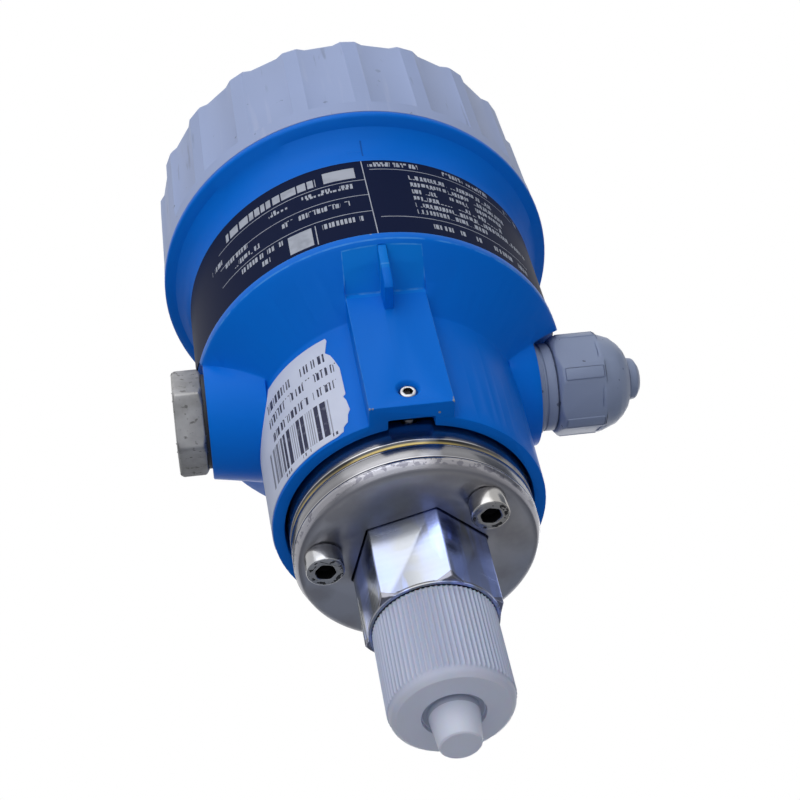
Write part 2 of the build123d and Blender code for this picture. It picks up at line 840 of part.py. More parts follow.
# Selector block with four sliders, and the two keys.
dip = block(dip_x - dip_w / 2, dip_x + dip_w / 2, dip_y - 4, dip_y + 4, module_z1 - 2, module_z1 + 3)
dip_xs = [dip_x + (i - (dip_count - 1) / 2) * dip_pitch for i in range(dip_count)]
for x in dip_xs:
    dip -= block(x - 0.65, x + 0.65, dip_y - 2.0, dip_y + 2.0, module_z1 + 1.4, module_z1 + 4)
save("dip_block", dip)
for i, x in enumerate(dip_xs):
    slider = block(
        x - 0.58, x + 0.58, dip_y - 1.95, dip_y - 1.95 + 2.4, module_z1 + 1.45, module_z1 + 2.4
    )
    slider += block(
        x - 0.45, x + 0.45, dip_y - 1.45, dip_y - 0.15, module_z1 + 2.4, module_z1 + 3.5
    )
    save("dip_slider_" + str(i + 1), slider)
for i, name in enumerate(("zero_key", "span_key")):
    key = rod(key_r, module_z1 - 1.0 + key_travel + 0.02, module_z1 + 2.2)
    key = chamfer(key.edges().sort_by(Axis.Z)[-1], 0.3)
    save(name, Pos(key_x + i * key_step, key_y, 0) * key)

# Inner earth screw.
earth_screw = lathe(
    [
        (0, earth_z - 6),
        (1.45, earth_z - 6),
        (1.45, earth_z),
        (3.0, earth_z),
        (3.0, earth_z + 2.0),
        (2.4, earth_z + 2.6),
        (0, earth_z + 2.6),
    ]
)
earth_screw -= block(-3.5, 3.5, -0.4, 0.4, earth_z + 1.6, earth_z + 4)
save("earth_screw", Pos(earth_x, earth_y, 0) * earth_screw)
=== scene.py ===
import math

import bpy
from mathutils import Matrix, Vector


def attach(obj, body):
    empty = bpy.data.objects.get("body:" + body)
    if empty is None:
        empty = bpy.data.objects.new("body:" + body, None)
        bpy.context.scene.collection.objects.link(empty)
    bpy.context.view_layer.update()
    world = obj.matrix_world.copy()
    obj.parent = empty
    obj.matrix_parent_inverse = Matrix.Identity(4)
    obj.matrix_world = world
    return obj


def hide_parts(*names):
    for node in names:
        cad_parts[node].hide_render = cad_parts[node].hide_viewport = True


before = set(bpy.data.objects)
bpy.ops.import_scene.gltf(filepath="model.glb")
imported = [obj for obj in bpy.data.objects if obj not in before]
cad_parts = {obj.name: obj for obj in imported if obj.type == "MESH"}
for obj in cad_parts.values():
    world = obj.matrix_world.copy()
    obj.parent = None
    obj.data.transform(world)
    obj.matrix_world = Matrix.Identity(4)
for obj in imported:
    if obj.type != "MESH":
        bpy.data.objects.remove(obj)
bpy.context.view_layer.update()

# The view: a camera low in front of the transmitter, looking up at its steel end, as the
# photograph does. The lens and the three axes come from the circles of the flange and lips.
right = Vector((0.988091, -0.003976, -0.153822))
up = Vector((0.100149, -0.742330, 0.662507))
back = right.cross(up)
camera_place = (-0.043539, -0.271278, -0.224546)
camera = bpy.data.objects.new("camera", bpy.data.cameras.new("camera"))
bpy.context.scene.collection.objects.link(camera)
camera.data.sensor_width = 36.0
camera.data.lens = 74.58
camera.data.clip_start = 0.01
camera.matrix_world = Matrix.Translation(camera_place) @ Matrix(
    (right, up, back)
).transposed().to_4x4()
bpy.context.scene.camera = camera
bpy.context.scene.view_settings.view_transform = "Standard"


# The studio: a pale floor far under the part, a white surround, soft lamps, and two cards, one
# mid grey and one dark, for the steel to mirror. Seen straight on, floor and cards look white.
class Shade:
    """One socket in a material. Python sums on it add Math nodes."""

    def __init__(self, tree, socket=None):
        self.tree = tree
        self.socket = socket

    def node(self, kind, settings=None, out=0, **sockets):
        made = self.tree.nodes.new("ShaderNode" + kind)
        for name, value in (settings or {}).items():
            if name == "stops":
                while len(made.color_ramp.elements) < len(value):
                    made.color_ramp.elements.new(0.5)
                for stop, (place, colour) in zip(made.color_ramp.elements, value):
                    stop.position = place
                    stop.color = (*colour, 1.0)
            else:
                setattr(made, name, value)
        for name, value in sockets.items():
            key = int(name[1:]) if name[1:].isdigit() else name.replace("_", " ")
            into = made.inputs[key]
            if isinstance(value, Shade):
                self.tree.links.new(value.socket, into)
            elif into.type == "RGBA" and len(value) == 3:
                into.default_value = (*value, 1.0)
            else:
                into.default_value = value
        return Shade(self.tree, made.outputs[out])

    def maths(self, operation, *others):
        values = {"_" + str(i): value for i, value in enumerate((self, *others))}
        return self.node("Math", {"operation": operation}, **values)

    def __add__(self, other):
        return self.maths("ADD", other)

    __radd__ = __add__

    def __sub__(self, other):
        return self.maths("SUBTRACT", other)

    def __rsub__(self, other):
        return self.maths("MULTIPLY", -1.0) + other

    def __mul__(self, other):
        return self.maths("MULTIPLY", other)

    __rmul__ = __mul__

    def __truediv__(self, other):
        return self.maths("DIVIDE", other)

    def above(self, limit):
        return self.maths("GREATER_THAN", limit)

    def within(self, low, high):
        return self.above(low) * self.maths("LESS_THAN", high)

    def either(self, other):
        return self.maths("MAXIMUM", other)

    def fade(self, low, high):
        """0 at low and 1 at high, even where high is the smaller of the two."""
        return ((self - low) / (high - low)).maths("MAXIMUM", 0.0).maths("MINIMUM", 1.0)

    def mix(self, colour_a, colour_b):
        """Between two colours, by this value."""
        return self.node("Mix", {"data_type": "RGBA"}, out=2, _0=self, _6=colour_a, _7=colour_b)

    def point(self):
        """The place on the object: the vector, then x, y and z in millimetres."""
        vector = self.node("TexCoord", out=3)
        parts = self.node("SeparateXYZ", Vector=vector).socket.node
        return (vector, *(Shade(self.tree, parts.outputs[i]) * 1000.0 for i in range(3)))

    def noise(self, vector, scale, detail=2.0):
        return self.node("TexNoise", Vector=vector, Scale=scale, Detail=detail)

    def bump(self, height, strength, distance_mm, under=None):
        """A Bump node on a height from 0 to 1."""
        more = {} if under is None else {"Normal": under}
        return self.node("Bump", Strength=strength, Distance=distance_mm / 1000.0, Height=height, **more)


def new_material(name, roughness=0.5, metallic=0.0, **more):
    """A material with one Principled shader. Gives it, its shader and a Shade to start from."""
    material = bpy.data.materials.new(name)
    material.use_nodes = True
    shader = material.node_tree.nodes["Principled BSDF"]
    shader.inputs["Roughness"].default_value = roughness
    shader.inputs["Metallic"].default_value = metallic
    for key, value in more.items():
        shader.inputs[key.replace("_", " ")].default_value = value
    return material, shader, Shade(material.node_tree)


def feed(shader, name, shade):
    """Link a Shade, or set a plain value, into a socket of the shader."""
    if isinstance(shade, Shade):
        shade.tree.links.new(shade.socket, shader.inputs[name])
    else:
        shader.inputs[name].default_value = shade


for name, size, place, tone, glow in (
    ("floor", 6.0, (0.0, 0.0, -0.42), (0.86, 0.86, 0.86), (0.72, 0.72, 0.72)),
    ("right_card", 0.5, (0.75, -0.1, 0.42), (0.46, 0.49, 0.54), (1.0, 1.0, 1.0)),
    ("left_card", 0.36, (-0.62, 0.75, 0.75), (0.08, 0.09, 0.10), (1.0, 1.0, 1.0)),
):
    bpy.ops.object.select_all(action="DESELECT")
    bpy.ops.mesh.primitive_plane_add(size=size, location=place)
    sheet = bpy.context.object
    sheet.name = name
    if name != "floor":
        sheet.rotation_euler = (Vector(place) * -1.0).to_track_quat("Z", "Y").to_euler()
    paint, paint_shader, shade = new_material("studio_" + name, roughness=0.9, Emission_Strength=1.0)
    straight = Shade(shade.tree, shade.node("LightPath").socket.node.outputs["Is Camera Ray"])
    feed(paint_shader, "Base Color", (*tone, 1.0))
    feed(paint_shader, "Emission Color", straight.mix((0.0, 0.0, 0.0), glow))
    sheet.data.materials.append(paint)

world = bpy.data.worlds.new("studio")
bpy.context.scene.world = world
world.use_nodes = True
sky = world.node_tree.nodes["Background"]
ray = Shade(world.node_tree).node("LightPath").socket.node
seen = Shade(world.node_tree, ray.outputs["Is Camera Ray"]).either(
    Shade(world.node_tree, ray.outputs["Is Glossy Ray"])
).either(Shade(world.node_tree, ray.outputs["Is Transmission Ray"]))
world.node_tree.links.new(seen.mix((0.15, 0.165, 0.20), (1.0, 1.0, 1.0)).socket, sky.inputs["Color"])

lamp_aim = Vector((0.0, 0.0, 0.06))
for name, power, size, place in (
    ("key_lamp", 2.6, 1.0, (-0.34, -0.70, 0.66)),
    ("front_lamp", 4.6, 1.1, (-0.22, -0.88, 0.10)),
    ("back_lamp", 1.2, 0.6, (0.2, 0.7, 0.5)),
):
    lamp = bpy.data.objects.new(name, bpy.data.lights.new(name, "AREA"))
    bpy.context.scene.collection.objects.link(lamp)
    lamp.data.energy = power
    lamp.data.size = size
    lamp.location = place
    lamp.rotation_euler = (lamp_aim - Vector(place)).to_track_quat("-Z", "Y").to_euler()


# The process connection is turned and milled from stainless bar: a hexagon with chamfered
# corners, a sealing ring under it and the pipe thread, which the lathe cut.
weld = 0.000002
flat_below = 0.4
broken_above = 34.0


def cast_copy(node, name, angle=32.0, bevel=0.0, segments=2):
    """A welded copy of a CAD node with its sharp edges broken by a bevel in millimetres."""
    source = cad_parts[node]
    piece = bpy.data.objects.new(name, source.data.copy())
    bpy.context.scene.collection.objects.link(piece)
    piece.data.materials.clear()
    bpy.ops.object.select_all(action="DESELECT")
    piece.select_set(True)
    bpy.context.view_layer.objects.active = piece
    bpy.ops.object.mode_set(mode="EDIT")
    bpy.ops.mesh.select_all(action="SELECT")
    bpy.ops.mesh.remove_doubles(threshold=weld)
    bpy.ops.mesh.dissolve_limited(angle_limit=math.radians(flat_below))
    bpy.ops.mesh.select_all(action="DESELECT")
    bpy.ops.object.mode_set(mode="OBJECT")
    if piece.data.has_custom_normals:
        bpy.ops.mesh.customdata_custom_splitnormals_clear()
    if bevel:
        softened = piece.modifiers.new("broken_edges", "BEVEL")
        softened.width = bevel / 1000.0
        softened.segments = segments
        softened.limit_method = "ANGLE"
        softened.angle_limit = math.radians(broken_above)
        softened.use_clamp_overlap = False
        softened.miter_outer = "MITER_ARC"
        bpy.ops.object.modifier_apply(modifier="broken_edges")
    bpy.ops.object.shade_smooth_by_angle(angle=math.radians(angle))
    return piece


def settle(piece, body, material, node):
    """Give a finished piece its material and its body, and hide the CAD node it stands for."""
    piece.data.materials.clear()
    piece.data.materials.append(material)
    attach(piece, body)
    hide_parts(node)


def turned_steel(name, tone, roughness, rings, grain):
    """Stainless steel with fine marks round Z. Gives its parts, so that more can be added."""
    material, shader, shade = new_material(name, roughness=roughness, metallic=1.0)
    place, x, y, z = shade.point()
    radius = (x * x + y * y).maths("SQRT")
    marks = shade.node("CombineXYZ", X=radius * rings / 1000.0, Y=z * rings / 1000.0, Z=0.0)
    lines = shade.noise(marks, 1.0, 3.0)
    cloud = shade.noise(place, 45.0).fade(0.36, 0.64)
    cool = tuple(c * m for c, m in zip(tone, (0.9, 0.95, 1.04)))
    warm = tuple(c * m for c, m in zip(tone, (1.06, 1.02, 0.94)))
    colour = cloud.mix(cool, warm)
    feed(shader, "Base Color", colour)
    feed(shader, "Roughness", lines * 0.2 + (roughness - 0.1))
    dents = shade.bump(lines, grain, 0.02)
    feed(shader, "Normal", dents)
    return material, shader, shade, colour, (place, x, y, z, radius), dents


connection = cast_copy("process_connection", "hexagon_stub", bevel=0.25)
steel, steel_shader, shade, colour, (place, x, y, z, radius), dents = turned_steel(
    "milled_steel", (0.30, 0.31, 0.35), 0.2, 5200.0, 0.1
)
mill = shade.noise(shade.node("Mapping", Vector=place, Scale=(60.0, 60.0, 900.0)), 1.0, 4.0)
feed(steel_shader, "Roughness", mill * 0.22 + 0.12)
# Painted highlight and painted reflection: a bright lavender streak on the facets, laid over a bluish painted
# reflection.
sheen = shade.noise(shade.node("Mapping", Vector=place, Scale=(190.0, 190.0, 26.0)), 1.0, 3.0)
lit = sheen.fade(0.5, 0.6) * 0.75
painted_blue_reflection = shade.noise(place, 75.0).fade(0.4, 0.6)
facet = lit.mix(painted_blue_reflection.mix((0.28, 0.295, 0.32), (0.28, 0.33, 0.54)), (0.34, 0.43, 0.86))
chamfer_r = 13.55
foot = ((radius - chamfer_r) * 1.15 - z).above(0.0) * z.above(0.25)
feed(steel_shader, "Base Color", (foot * 0.7).mix(facet, (0.13, 0.12, 0.11)))
turn = y.maths("ARCTAN2", x)
pitch = 1.814
wave = (z * (math.tau / pitch) + turn).maths("SINE") * 0.5 + 0.5
threaded = z.within(-19.6, -2.4) * radius.above(9.0)
feed(steel_shader, "Normal", shade.bump(wave * threaded, 1.0, 0.9, dents))
settle(connection, "process_side", steel, "process_connection")

# The clamp flange is an investment casting with a rounded rim, blasted matt. Its rim is
# turned bright and carries a faint etched band.
flange = cast_copy("clamp_flange", "flange_disc", 40.0, bevel=0.3)
cast, cast_shader, shade, colour, (place, x, y, z, radius), dents = turned_steel(
    "blasted_steel", (0.44, 0.44, 0.47), 0.34, 900.0, 0.05
)
blast = shade.noise(place, 2600.0, 3.0)
blot = shade.noise(place, 95.0, 4.0).fade(0.42, 0.62)
rim = radius.fade(27.0, 27.5)
feed(cast_shader, "Roughness", (blot * 0.12 + 0.3) * (1.0 - rim * 0.45))
speckle = shade.noise(place, 700.0, 3.0).above(0.53)
stretch = shade.noise(place, 60.0).above(0.42)
etch = rim * z.within(21.5, 23.1) * speckle * stretch
# Painted shade: the rounded band at the outer edge of the face is darkened.
edge = radius.fade(25.4, 26.6) * (1.0 - z.above(22.4))
skin = (rim * 0.6).either(blot * 0.5).either(edge * 0.8).mix(colour, (0.22, 0.22, 0.25))
feed(cast_shader, "Base Color", (etch * 0.55).mix(skin, (0.07, 0.07, 0.1)))
feed(cast_shader, "Normal", shade.bump(blast, 0.35, 0.03, dents))
settle(flange, "process_side", cast, "clamp_flange")

# Three M5 socket-head screws hold the flange. Each head has a bright chamfer with rolled
# marks round its face, and a socket painted near black as painted shade in its recess.
screws = cast_copy("flange_screws", "socket_screws", 34.0, bevel=0.45, segments=3)
bright, bright_shader, shade, colour, (place, x, y, z, radius), dents = turned_steel(
    "screw_steel", (0.38, 0.38, 0.39), 0.22, 4200.0, 0.1
)
face = z.fade(16.0, 15.7)
stamp = shade.noise(place, 900.0, 2.0).above(0.56) * face
deep = z.within(15.12, 18.2)
screw_circle_r = 21.8
first_screw = -48.5
socket_r = 2.7
near = None
for i in range(3):
    at = math.radians(first_screw + 120.0 * i)
    off_x = x - screw_circle_r * math.cos(at)
    off_y = y - screw_circle_r * math.sin(at)
    span = (off_x * off_x + off_y * off_y).maths("SQRT")
    near = span if near is None else near.maths("MINIMUM", span)
# Painted shade: the socket is made near black.
inside = deep * (1.0 - near.above(socket_r))
ring = stamp * near.within(2.9, 3.9)
feed(bright_shader, "Base Color", inside.either(ring * 0.85).mix(colour, (0.012, 0.012, 0.014)))
feed(bright_shader, "Roughness", inside.either(ring) * 0.5 + 0.2)
feed(bright_shader, "Normal", shade.bump(1.0 - ring, 0.6, 0.12, dents))
settle(screws, "process_side", bright, "flange_screws")

# The sensor body is a stack of turned stainless rings with a welded bead. Its light and dark
# bands are painted highlight and painted shade; its light streaks and the straw-gold band by the bead are
# painted reflection.
stack = cast_copy("sensor_body", "ring_stack", 28.0, bevel=0.18)
ringed, ringed_shader, shade, colour, (place, x, y, z, radius), dents = turned_steel(
    "ring_steel", (0.36, 0.36, 0.40), 0.2, 4200.0, 0.3
)
stack_z0 = 23.0
stack_high = 13.0
# Painted highlight and painted shade: a grey tone for each height along the stack.
steps = (
    (23.5, 0.03), (23.62, 0.5), (23.75, 0.19), (25.1, 0.23), (26.6, 0.18), (26.8, 0.04), (27.0, 0.55),
    (27.14, 0.10), (27.5, 0.22), (28.3, 0.10), (28.75, 0.07), (28.95, 0.5), (29.1, 0.14), (29.9, 0.25),
    (31.0, 0.42), (32.6, 0.48), (34.0, 0.4), (36.0, 0.3),
)
bands = shade.node(
    "ValToRGB",
    {"stops": [((at - stack_z0) / stack_high, (tone, tone, tone * 1.06)) for at, tone in steps]},
    Fac=(z - stack_z0) / stack_high,
)
patchy = shade.noise(place, 60.0).fade(0.4, 0.6)
# Painted reflection: a straw-gold band beside the bead, and light streaks along the rings.
straw = z.within(27.5, 28.4) * (0.2 + patchy * 0.6)
painted_streak = shade.noise(shade.node("Mapping", Vector=place, Scale=(70.0, 70.0, 8.0)), 1.0, 3.0).fade(0.58, 0.66)
bands = (painted_streak * 0.35).mix(bands, (0.5, 0.52, 0.6))
feed(ringed_shader, "Base Color", straw.mix(bands, (0.46, 0.36, 0.13)))
settle(stack, "process_side", ringed, "sensor_body")


# The cap is thin milky polyethylene: a fine straight knurl for the grip, a rounded end with
# a ring groove, and the stub of its moulding. It is pushed over the thread.
def stretch_end(steps):
    """Extrude the selected end by (millimetres along Z, scale across) steps."""
    for rise, across in steps:
        move = (0.0, 0.0, rise / 1000.0)
        bpy.ops.mesh.extrude_region_move(TRANSFORM_OT_translate={"value": move})
        bpy.ops.transform.resize(value=(across, across, 1.0), center_override=(0.0, 0.0, 0.0))


def pick(piece, test, mode="FACE"):
    """In edit mode, select the faces or vertices that pass a test of their centre and normal."""
    bpy.ops.object.mode_set(mode="OBJECT")
    for group in (piece.data.polygons, piece.data.edges, piece.data.vertices):
        group.foreach_set("select", [False] * len(group))
    if mode == "FACE":
        for part in piece.data.polygons:
            part.select = test(part.center * 1000.0, part.normal)
    else:
        for part in piece.data.vertices:
            part.select = test(part.co * 1000.0, part.normal)
    bpy.ops.object.mode_set(mode="EDIT")
    bpy.ops.mesh.select_mode(type="FACE" if mode == "FACE" else "VERT")


knurl = 76
cap_r, bore_r, rib = 13.2, 10.56, 0.32
cap_high, cap_gap = 20.55, 0.05
bpy.ops.object.select_all(action="DESELECT")
bpy.ops.mesh.primitive_cylinder_add(
    vertices=knurl * 3,
    radius=cap_r / 1000.0,
    depth=cap_high / 1000.0,
    location=(0.0, 0.0, -(cap_gap + cap_high / 2.0) / 1000.0),
)
cap = bpy.context.object
cap.name = "milky_cap"
bpy.ops.object.transform_apply(location=True, rotation=False, scale=False)
bpy.ops.object.mode_set(mode="EDIT")


def on_rib(centre, normal):
    """True for one vertex in three round the cap."""
    step = math.degrees(math.atan2(centre.y, centre.x)) % 360.0 / (120.0 / knurl)
    return round(step) % 3 == 0


pick(cap, on_rib, "VERT")
outward = (cap_r + rib) / cap_r
bpy.ops.transform.resize(value=(outward, outward, 1.0), center_override=(0.0, 0.0, 0.0))
pick(cap, lambda centre, normal: normal.z < -0.9)
stretch_end([(-0.6, 1.0), (-0.8, 0.99), (-0.7, 0.965), (-0.45, 0.945), (-0.25, 0.93)])
pick(cap, lambda centre, normal: centre.z < -20.9 and on_rib(centre, normal), "VERT")
bpy.ops.transform.resize(value=(1.0 / outward, 1.0 / outward, 1.0), center_override=(0.0, 0.0, 0.0))
pick(cap, lambda centre, normal: normal.z < -0.9)
stretch_end([(0.0, 0.57), (0.9, 0.985), (0.0, 0.82), (-1.1, 0.98), (-6.6, 0.85), (-0.6, 0.96)])
pick(cap, lambda centre, normal: normal.z > 0.9)
stretch_end([(0.0, 0.97), (-0.3, 0.985), (0.0, bore_r / (cap_r * 0.97 * 0.985)), (-19.85, 1.0)])
bpy.ops.object.mode_set(mode="OBJECT")
bpy.ops.object.shade_smooth_by_angle(angle=math.radians(24.0))
milky, milky_shader, shade = new_material(
    "milky_polyethylene",
    roughness=0.38,
    Specular_IOR_Level=0.3,
    Subsurface_Weight=0.3,
    Subsurface_Scale=0.002,
)
place, x, y, z = shade.point()
radius = (x * x + y * y).maths("SQRT")
streak = shade.noise(shade.node("Mapping", Vector=place, Scale=(150.0, 150.0, 12.0)), 1.0)
thin = z.fade(-20.0, -23.4)
body_tone = streak.fade(0.3, 0.7).mix((0.36, 0.40, 0.55), (0.45, 0.49, 0.65))
# Painted highlight on the crests of the knurl.
crest = radius.fade(13.15, 13.5)
rim_light = z.fade(-1.0, -0.2)
tone = (thin * 0.9).either(crest * 0.5).either(rim_light * 0.9).mix(body_tone, (0.72, 0.75, 0.86))
# Painted shade: the ring groove round the stub is darkened.
moat = radius.within(4.0, 6.4) * z.within(-23.6, -21.0)
feed(milky_shader, "Base Color", (moat * 0.5).mix(tone, (0.2, 0.23, 0.32)))
settle(cap, "cap", milky, "thread_cap")


# The housing is an aluminium die casting with a bright blue powder coat: satin, very
# slightly pebbled, and chipped to the grey primer at the corners of the pad.
def powder_coat(name, colour, roughness, sheen, chips=(), chip_tone=(0.3, 0.32, 0.36)):
    """Powder coat with a fine pebble, and chips given as (x, y, z, size) in millimetres."""
    material, shader, shade = new_material(name, roughness=roughness, Specular_IOR_Level=sheen)
    place, x, y, z = shade.point()
    pebble = shade.noise(place, 1500.0)
    cloud = shade.noise(place, 22.0)
    deep = tuple(c * 0.94 for c in colour)
    pale = tuple(min(1.0, c * 1.06) for c in colour)
    base = cloud.fade(0.3, 0.7).mix(deep, pale)
    ragged = shade.noise(place, 800.0, 4.0)
    bare = None
    for chip_x, chip_y, chip_z, size in chips:
        off = [(axis - middle) / size for axis, middle in ((x, chip_x), (y, chip_y), (z, chip_z))]
        reach = (off[0] * off[0] + off[1] * off[1] + off[2] * off[2]).maths("SQRT") + ragged * 1.6
        spot = 1.0 - reach.above(1.5)
        bare = spot if bare is None else bare.either(spot)
    if bare is not None:
        base = bare.mix(base, chip_tone)
    feed(shader, "Base Color", base)
    feed(shader, "Roughness", cloud * 0.1 + (roughness - 0.05))
    dents = shade.bump(pebble, 0.18, 0.04)
    feed(shader, "Normal", dents)
    return material, shader, shade, base, (place, x, y, z), dents


housing = cast_copy("housing", "blue_casting", 30.0, bevel=0.3)
blue, blue_shader, shade, base, (place, x, y, z), dents = powder_coat(
    "blue_powder_coat",
    (0.0, 0.16, 0.70),
    0.4,
    0.09,
    (
        (9.3, -34.8, 32.4, 0.8), (9.4, -34.6, 33.4, 0.6), (-9.3, -34.8, 32.3, 0.7),
        (-8.4, -34.8, 32.2, 0.5), (6.0, -32.0, 32.2, 0.4), (30.0, -22.0, 58.0, 0.25),
        (-2.0, -45.2, 79.8, 0.4),
    ),
)
turn = y.maths("ARCTAN2", x) * (180.0 / math.pi)
seam = turn.within(-89.4, -88.9) * z.within(112.5, 117.5)
scar = turn.within(-97.0, -89.2) * z.within(113.2, 114.4) * shade.noise(place, 500.0, 3.0).above(0.56)
feed(blue_shader, "Normal", shade.bump(seam.either(scar * 0.6), 0.8, 0.3, dents))
pad_half = 9.3
side = x.maths("ABSOLUTE")
front = y.maths("MULTIPLY", -1.0)
pocket = front.above(33.9) * z.within(70.0, 76.75)
# Painted highlight: light lines along the edges of the pad, the pocket, the sill and the brow, broken up by
# noise.
highlight_breakup = shade.noise(place, 260.0, 3.0).fade(0.35, 0.55)
outline = (side.within(9.15, 9.4) * pocket).either(z.within(76.5, 76.7) * (1.0 - side.above(pad_half)) * pocket)
pad_edge = front.above(34.6) * side.within(9.1, 9.32) * z.within(32.0, 71.3)
sill = front.above(34.5) * (1.0 - side.above(9.32)) * z.within(70.95, 71.35)
brow = (x * x + y * y).maths("SQRT").above(45.12) * z.within(77.5, 77.95).either(z.within(79.8, 80.1))
edge_highlight_and_ink_wear = outline.either(pad_edge * 0.5).either(sill).either(brow) * highlight_breakup
# Painted light: the pocket under the brow is made lighter, where light falls into it.
glow = pocket * (1.0 - side.above(pad_half)) * 0.6
base = glow.mix(base, (0.0, 0.22, 0.72))
base = (edge_highlight_and_ink_wear * 0.45).mix(base, (0.10, 0.38, 0.80))
feed(blue_shader, "Base Color", (seam * 0.5).mix(base, (0.0, 0.03, 0.2)))
settle(housing, "housing_side", blue, "housing")

# The nameplate is a dark printed film round the drum. Its print is plain: dividing lines,
# a light field and broken rows that stand for data.
plate = cast_copy("nameplate", "film_band", 28.0)
film, film_shader, shade = new_material("printed_film", roughness=0.45, Specular_IOR_Level=0.02)
place, x, y, z = shade.point()
turn = y.maths("ARCTAN2", x) * (180.0 / math.pi)
line = (z * 0.35).maths("FLOOR")
wander = shade.noise(shade.node("CombineXYZ", X=turn * 0.6, Y=line * 7.3, Z=0.0), 1.0, 0.0)
letters = (turn * 0.8 + wander * 1.4).maths("FRACT").above(0.34)
words = shade.noise(shade.node("CombineXYZ", X=turn * 0.3, Y=line * 5.1, Z=3.0), 1.0, 0.0).above(0.41)
rows = (
    (-123.0, -94.5, 100.2, 1.9), (-119.5, -96.5, 93.6, 1.9), (-106.0, -93.5, 86.9, 1.9),
    (-149.0, -143.0, 98.6, 1.8), (-142.0, -131.5, 95.4, 1.8), (-139.0, -127.0, 92.0, 1.8),
    (-135.0, -119.0, 87.6, 1.8), (-129.0, -124.0, 84.4, 1.8),
    (-88.5, -72.5, 108.4, 1.8), (-64.0, -46.0, 108.4, 1.7), (-38.0, -30.0, 108.0, 1.6),
    (-76.5, -46.0, 103.4, 1.7), (-76.5, -41.0, 100.5, 1.7), (-76.5, -43.0, 97.6, 1.7),
    (-76.5, -44.0, 94.8, 1.7), (-76.5, -33.0, 92.0, 1.7), (-76.5, -52.0, 89.3, 1.7),
    (-72.5, -62.0, 84.0, 1.8), (-58.0, -56.0, 84.0, 1.8), (-52.0, -35.0, 84.0, 1.8),
)
print_mask = None
for low, high, middle, tall in rows:
    row = turn.within(low, high) * z.within(middle - tall / 2, middle + tall / 2)
    print_mask = row if print_mask is None else print_mask.either(row)
print_mask = print_mask * letters * words
headline = turn.within(-140.0, -105.5) * z.within(103.4, 106.4)
blocks = shade.noise(shade.node("CombineXYZ", X=turn * 0.9, Y=0.0, Z=7.0), 1.0, 0.0).above(0.42)
headline = headline * blocks
fields = (
    (-103.0, -93.0, 103.4, 107.6), (-117.2, -109.4, 81.6, 88.2),
    (-90.4, -90.1, 80.5, 110.1), (-108.3, -108.0, 81.2, 88.4),
    (-144.5, -90.4, 102.15, 102.35), (-144.5, -90.4, 95.95, 96.15), (-144.5, -90.4, 89.35, 89.55),
    (-88.2, -34.0, 106.3, 106.5), (-88.2, -34.0, 86.75, 86.95),
)
for low, high, bottom, top in fields:
    print_mask = print_mask.either(turn.within(low, high) * z.within(bottom, top))
ink = print_mask.either(headline)
edge_highlight_and_ink_wear = shade.noise(place, 300.0, 3.0).fade(0.2, 0.5)
feed(film_shader, "Base Color", (ink * (0.6 + edge_highlight_and_ink_wear * 0.3)).mix((0.006, 0.011, 0.04), (0.5, 0.53, 0.6)))
settle(plate, "housing_side", film, "nameplate")

# The sticker is a torn paper label on the neck, with rows and plain bars. Its torn edge is
# ragged, and its lower edge is rubbed.
sticker = cast_copy("sticker", "torn_label", 28.0)
label, label_shader, shade = new_material("white_label_paper", roughness=0.72)
place, x, y, z = shade.point()
turn = y.maths("ARCTAN2", x) * (180.0 / math.pi)
turn = turn - turn.above(0.0) * 360.0
line = (z * 0.2).maths("FLOOR")
wander = shade.noise(shade.node("CombineXYZ", X=turn * 0.4, Y=line * 7.3, Z=5.0), 1.0, 0.0)
stroke = (turn * 0.5 + wander * 1.6).maths("FRACT").above(0.55)
words = shade.noise(shade.node("CombineXYZ", X=turn * 0.16, Y=line * 5.1, Z=9.0), 1.0, 0.0).above(0.42)
stroke = stroke * words
mark = None
for low, high, middle, tall in (
    (-160.0, -119.5, 58.6, 2.7), (-157.0, -115.5, 54.0, 2.7),
    (-155.0, -115.5, 48.9, 2.6), (-150.0, -119.0, 34.2, 1.0),
):
    row = turn.within(low, high) * z.within(middle - tall / 2, middle + tall / 2) * stroke
    mark = row if mark is None else mark.either(row)
for middle, half, dark in (
    (-124.6, 1.35, 1.0), (-128.0, 1.05, 1.0), (-135.6, 1.0, 1.0), (-138.2, 1.0, 1.0), (-144.7, 1.1, 1.0),
    (-147.8, 0.8, 1.0), (-150.0, 0.7, 0.9), (-153.6, 0.8, 0.8), (-157.0, 0.9, 0.7), (-160.5, 0.8, 0.7),
    (-122.0, 0.3, 0.5), (-123.0, 0.2, 0.3), (-130.2, 0.3, 0.5), (-131.3, 0.3, 0.6), (-132.3, 0.25, 0.5),
    (-133.4, 0.25, 0.5), (-140.2, 0.3, 0.5), (-141.4, 0.3, 0.6), (-142.6, 0.25, 0.5),
    (-151.8, 0.3, 0.5), (-155.2, 0.4, 0.5),
):
    slope = (turn + 130.0) * -0.03
    bar = turn.within(middle - half, middle + half) * (z - slope).within(34.9, 45.6) * dark
    mark = bar if mark is None else mark.either(bar)
faded = shade.noise(place, 500.0, 3.0).fade(0.25, 0.45)
crumple = shade.noise(place, 90.0, 3.0)
paper_tone = crumple.fade(0.3, 0.7).mix((0.60, 0.64, 0.78), (0.68, 0.72, 0.85))
feed(label_shader, "Base Color", (mark * (0.75 + faded * 0.25)).mix(paper_tone, (0.012, 0.014, 0.05)))
feed(label_shader, "Normal", shade.bump(crumple, 0.3, 0.25))
settle(sticker, "housing_side", label, "sticker")

